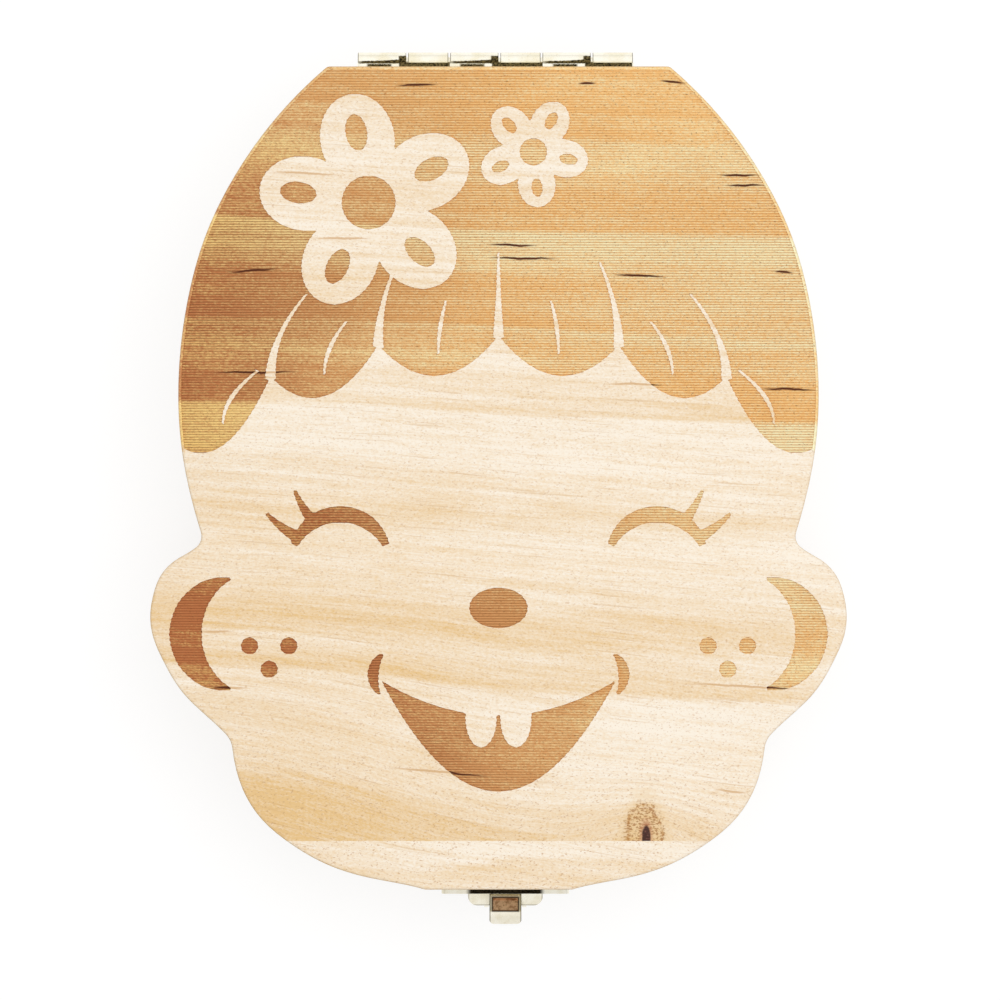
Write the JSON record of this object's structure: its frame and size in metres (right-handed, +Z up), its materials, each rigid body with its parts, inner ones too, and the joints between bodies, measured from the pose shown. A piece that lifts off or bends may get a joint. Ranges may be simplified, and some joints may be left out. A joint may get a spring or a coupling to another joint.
{
  "type": "baby tooth box",
  "caption": "Flat pine keepsake box shaped like a child's head with ears, cells for milk teeth in its base, a hinged lid and a small lever latch at the chin.",
  "frame": {"origin": "middle of the head outline, on the base's underside", "axes": "+X to the box's right ear as it is seen in the picture, +Y from the latch at the chin to the hinge at the crown, +Z up through the lid"},
  "size_m": [0.11, 0.1386, 0.03],
  "materials": {
    "pine": "sanded, unvarnished; the lid's top is laser engraved",
    "brass": "pale plated, bright"
  },
  "bodies": {
    "base": {"base_back_board": "pine", "base_front_board": "pine", "hinge_base_leaf": "brass", "hinge_pin": "brass", "hinge_base_screws": "brass", "latch_base_plate": "brass", "latch_base_screws": "brass", "latch_pin": "brass"},
    "lid": {"lid_main_board": "pine", "lid_chin_board": "pine", "hinge_lid_leaf": "brass", "hinge_lid_screws": "brass", "latch_keeper": "brass", "keeper_screws": "brass"},
    "latch_lever": {"latch_lever": "brass"}
  },
  "joints": [
    {"name": "lid_hinge", "type": "hinge", "parent": "base", "child": "lid", "pos_m": [-0.0005, 0.0665, 0.021], "axis": [-1, 0, 0], "range_deg": [0, 180]},
    {"name": "latch_pivot", "type": "hinge", "parent": "base", "child": "latch_lever", "pos_m": [0.0011, -0.0677, 0.013], "axis": [1, 0, 0], "range_deg": [0, 110]}
  ]
}
